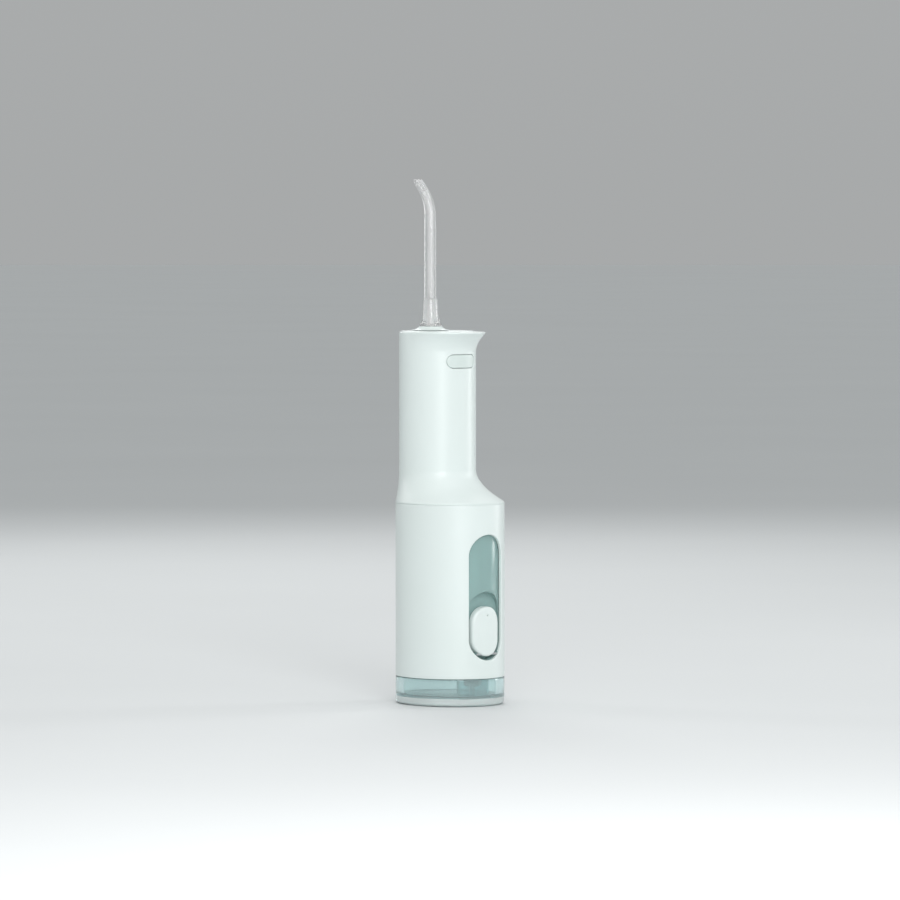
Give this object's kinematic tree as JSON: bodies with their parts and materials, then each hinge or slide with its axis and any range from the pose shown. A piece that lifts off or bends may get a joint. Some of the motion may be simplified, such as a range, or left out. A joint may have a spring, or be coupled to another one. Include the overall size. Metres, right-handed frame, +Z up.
{
  "type": "water flosser",
  "caption": "Cordless water flosser: slim handle with a curved clear jet tip, standing on a clear water tank in a white sleeve with a hinged filler cap.",
  "frame": {"origin": "centre of the tank's underside, on the surface that the flosser stands on", "axes": "+Z up along the body, -Y the front with the buttons and the way the jet tip leans, +Y the back with the release button, window and filler cap, +X the user's right when looking along +Y"},
  "size_m": [0.0536, 0.0604, 0.272],
  "materials": {
    "body_white": "satin moulded plastic, mint-tinted white",
    "button_white": "satin moulded plastic, a shade darker than the body",
    "tank_clear": "clear polished plastic with a teal tint",
    "nozzle_clear": "clear polished plastic",
    "silicone": "matt silicone",
    "steel": "plain steel",
    "motor_steel": "drawn steel can",
    "switch_black": "black moulded switch body",
    "inner_grey": "light grey moulded plastic",
    "battery_wrap": "shrink-wrapped cell",
    "board_green": "solder-masked circuit board",
    "brass": "machined brass",
    "acetal": "natural acetal"
  },
  "bodies": {
    "tank": {"tank_vessel": "tank_clear", "tank_sleeve": "body_white", "cap_hinge_pin": "steel"},
    "filler_cap": {"filler_cap": "body_white", "cap_seal": "silicone"},
    "handle": {"handle_housing": "body_white", "tank_plug": "inner_grey", "plug_seal": "silicone", "plug_screw_1": "steel", "plug_screw_2": "steel", "plug_screw_3": "steel", "plug_screw_4": "steel", "suction_tube": "nozzle_clear", "strainer": "tank_clear", "nozzle_seat": "inner_grey", "nozzle_seal": "silicone", "chassis": "inner_grey", "motor": "motor_steel", "battery_cell": "battery_wrap", "circuit_board": "board_green", "power_switch": "switch_black", "mode_switch": "switch_black", "usb_socket": "steel", "light_guide": "nozzle_clear", "gear_axle": "steel", "pump_body": "inner_grey", "pressure_hose": "silicone", "release_spring": "steel"},
    "power_button": {"power_button": "button_white"},
    "mode_button": {"mode_button": "button_white"},
    "release": {"release_button": "button_white", "latch_plate": "inner_grey"},
    "port_cover": {"port_cover": "silicone"},
    "swivel": {"swivel_ring": "body_white"},
    "nozzle": {"nozzle_base": "nozzle_clear", "nozzle_tube": "nozzle_clear"},
    "drive_gear": {"drive_gear": "acetal"},
    "connecting_rod": {"connecting_rod": "acetal"},
    "pinion": {"pinion": "brass", "motor_shaft": "steel"},
    "piston": {"piston": "acetal"},
    "inlet_ball": {"inlet_ball": "steel"}
  },
  "joints": [
    {"name": "handle_lift", "type": "slide", "parent": "tank", "child": "handle", "axis": [0, 0, 1], "range_m": [0, 0.11]},
    {"name": "cap_hinge", "type": "hinge", "parent": "tank", "child": "filler_cap", "pos_m": [0, 0.0282, 0.0269], "axis": [-1, 0, 0], "range_deg": [0, 90]},
    {"name": "swivel_turn", "type": "hinge", "parent": "handle", "child": "swivel", "pos_m": [0, -0.0153, 0.19], "axis": [0, 0, 1], "continuous": true},
    {"name": "nozzle_pull", "type": "slide", "parent": "swivel", "child": "nozzle", "axis": [0, 0, 1], "range_m": [0, 0.03]},
    {"name": "release_press", "type": "slide", "parent": "handle", "child": "release", "axis": [0, -1, 0], "range_m": [0, 0.0016], "stiffness_N_per_m": 600, "springref_m": -0.001, "deforming": ["release_spring"]},
    {"name": "power_press", "type": "slide", "parent": "handle", "child": "power_button", "axis": [0, 1, 0], "range_m": [0, 0.0008], "stiffness_N_per_m": 800, "springref_m": -0.0005},
    {"name": "mode_press", "type": "slide", "parent": "handle", "child": "mode_button", "axis": [0, 1, 0], "range_m": [0, 0.0008], "stiffness_N_per_m": 800, "springref_m": -0.0005},
    {"name": "port_flap", "type": "hinge", "parent": "handle", "child": "port_cover", "pos_m": [0, -0.03, 0.1109], "axis": [1, 0, 0], "range_deg": [0, 90]},
    {"name": "gear_turn", "type": "hinge", "parent": "handle", "child": "drive_gear", "pos_m": [0, -0.00263, 0.1067], "axis": [0, 0, 1], "continuous": true},
    {"name": "rod_turn", "type": "hinge", "parent": "drive_gear", "child": "connecting_rod", "pos_m": [0, -0.00113, 0.1006], "axis": [0, 0, 1], "continuous": true},
    {"name": "pinion_turn", "type": "hinge", "parent": "handle", "child": "pinion", "pos_m": [-0.0074, -0.0108, 0.1067], "axis": [0, 0, 1], "continuous": true},
    {"name": "piston_slide", "type": "slide", "parent": "handle", "child": "piston", "axis": [0, 1, 0], "range_m": [-0.003, 0]},
    {"name": "inlet_lift", "type": "slide", "parent": "handle", "child": "inlet_ball", "axis": [0, 0, 1], "range_m": [0, 0.0008]}
  ],
  "couplings": [
    {"joint": "pinion_turn", "follows": "gear_turn", "ratio": -3},
    {"joint": "rod_turn", "follows": "gear_turn", "ratio": -1}
  ]
}
